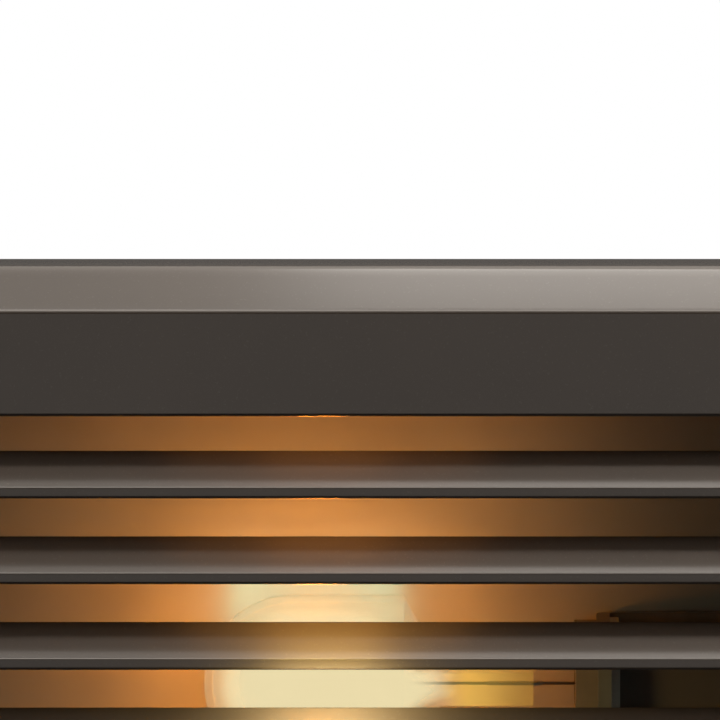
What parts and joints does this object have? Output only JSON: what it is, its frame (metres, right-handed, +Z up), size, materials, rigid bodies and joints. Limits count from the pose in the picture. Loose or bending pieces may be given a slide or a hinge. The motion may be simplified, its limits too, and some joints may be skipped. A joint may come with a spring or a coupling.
{
  "type": "louvred step light",
  "caption": "Recessed low-voltage step light for a brick wall: a bevelled bronze face with sloping louvres over a glass lens and a cast housing.",
  "frame": {"origin": "middle of the four wall-screw holes, on the back face of the housing's flange, which is the plane of the wall", "axes": "+X along the wall to the right as seen from the front, +Y into the wall, +Z up"},
  "size_m": [0.235, 0.0845, 0.0826],
  "materials": {
    "bronze_powder_coat": "textured bronze powder coat",
    "clear_glass": "tempered, polished",
    "lamp_glass": "clear",
    "stainless": "satin",
    "bronze_screw": "blackened bronze",
    "spring_steel": "rolled",
    "zinc_sheet": "zinc plated",
    "bright_sheet": "semi-matt reflector sheet",
    "black_epdm": "matt",
    "silicone": "matt",
    "phenolic": "moulded",
    "brass_contact": "tinned strip",
    "tungsten": "drawn wire",
    "black_insulation": "satin",
    "white_insulation": "satin",
    "connector_shell": "moulded"
  },
  "bodies": {
    "housing": {"housing": "bronze_powder_coat", "flange_gasket": "black_epdm", "reflector": "bright_sheet", "reflector_screws": "stainless", "holder_bracket": "zinc_sheet", "bracket_screws": "stainless", "lamp_holder": "phenolic", "holder_contacts": "brass_contact", "holder_retainer": "spring_steel", "lead_black": "black_insulation", "lead_white": "white_insulation", "wire_connectors": "connector_shell"},
    "faceplate": {"louvred_faceplate": "bronze_powder_coat", "wall_gasket": "black_epdm", "lens_gasket": "silicone", "lens": "clear_glass", "lens_clip_screws": "stainless"},
    "lamp": {"lamp_envelope": "lamp_glass", "lamp_support_wires": "tungsten", "lamp_filament": "tungsten"},
    "left_washer": {"face_screw_washer_left": "black_epdm"},
    "left_screw": {"face_screw_left": "bronze_screw"},
    "right_washer": {"face_screw_washer_right": "black_epdm"},
    "right_screw": {"face_screw_right": "bronze_screw"},
    "clip_left_upper": {"lens_clip_left_upper": "spring_steel"},
    "clip_left_lower": {"lens_clip_left_lower": "spring_steel"},
    "clip_right_upper": {"lens_clip_right_upper": "spring_steel"},
    "clip_right_lower": {"lens_clip_right_lower": "spring_steel"},
    "left_plug_seal": {"conduit_plug_seal_left": "black_epdm"},
    "left_plug": {"conduit_plug_left": "bronze_powder_coat"},
    "right_plug_seal": {"conduit_plug_seal_right": "black_epdm"},
    "right_plug": {"conduit_plug_right": "bronze_powder_coat"}
  },
  "joints": [
    {"name": "faceplate_pull", "type": "slide", "parent": "housing", "child": "faceplate", "axis": [0, -1, 0], "range_m": [0, 0.06]},
    {"name": "lamp_pull", "type": "slide", "parent": "housing", "child": "lamp", "axis": [-1, 0, 0], "range_m": [0, 0.012]},
    {"name": "left_screw_travel", "type": "slide", "parent": "faceplate", "child": "left_washer", "axis": [0, -1, 0], "range_m": [0, 0.0105]},
    {"name": "left_screw_turn", "type": "hinge", "parent": "left_washer", "child": "left_screw", "pos_m": [-0.1065, 0, 0], "axis": [0, -1, 0], "range_deg": [0, 4763]},
    {"name": "right_screw_travel", "type": "slide", "parent": "faceplate", "child": "right_washer", "axis": [0, -1, 0], "range_m": [0, 0.0105]},
    {"name": "right_screw_turn", "type": "hinge", "parent": "right_washer", "child": "right_screw", "pos_m": [0.1065, 0, 0], "axis": [0, -1, 0], "range_deg": [0, 4763]},
    {"name": "clip_left_upper_swing", "type": "hinge", "parent": "faceplate", "child": "clip_left_upper", "pos_m": [-0.096, -0.0043, 0.02], "axis": [0, -1, 0], "range_deg": [0, 90]},
    {"name": "clip_left_lower_swing", "type": "hinge", "parent": "faceplate", "child": "clip_left_lower", "pos_m": [-0.096, -0.0043, -0.02], "axis": [0, 1, 0], "range_deg": [0, 90]},
    {"name": "clip_right_upper_swing", "type": "hinge", "parent": "faceplate", "child": "clip_right_upper", "pos_m": [0.096, -0.0043, 0.02], "axis": [0, 1, 0], "range_deg": [0, 90]},
    {"name": "clip_right_lower_swing", "type": "hinge", "parent": "faceplate", "child": "clip_right_lower", "pos_m": [0.096, -0.0043, -0.02], "axis": [0, -1, 0], "range_deg": [0, 90]},
    {"name": "left_plug_travel", "type": "slide", "parent": "housing", "child": "left_plug_seal", "axis": [-1, 0, 0], "range_m": [0, 0.0095]},
    {"name": "left_plug_turn", "type": "hinge", "parent": "left_plug_seal", "child": "left_plug", "pos_m": [-0.1105, 0.045, 0], "axis": [-1, 0, 0], "range_deg": [0, 1886]},
    {"name": "right_plug_travel", "type": "slide", "parent": "housing", "child": "right_plug_seal", "axis": [1, 0, 0], "range_m": [0, 0.0095]},
    {"name": "right_plug_turn", "type": "hinge", "parent": "right_plug_seal", "child": "right_plug", "pos_m": [0.1105, 0.045, 0], "axis": [1, 0, 0], "range_deg": [0, 1886]}
  ],
  "couplings": [
    {"joint": "left_screw_turn", "follows": "left_screw_travel", "rad_per_m": 7915.8},
    {"joint": "right_screw_turn", "follows": "right_screw_travel", "rad_per_m": 7915.8},
    {"joint": "left_plug_turn", "follows": "left_plug_travel", "rad_per_m": 3463.1},
    {"joint": "right_plug_turn", "follows": "right_plug_travel", "rad_per_m": 3463.1}
  ]
}
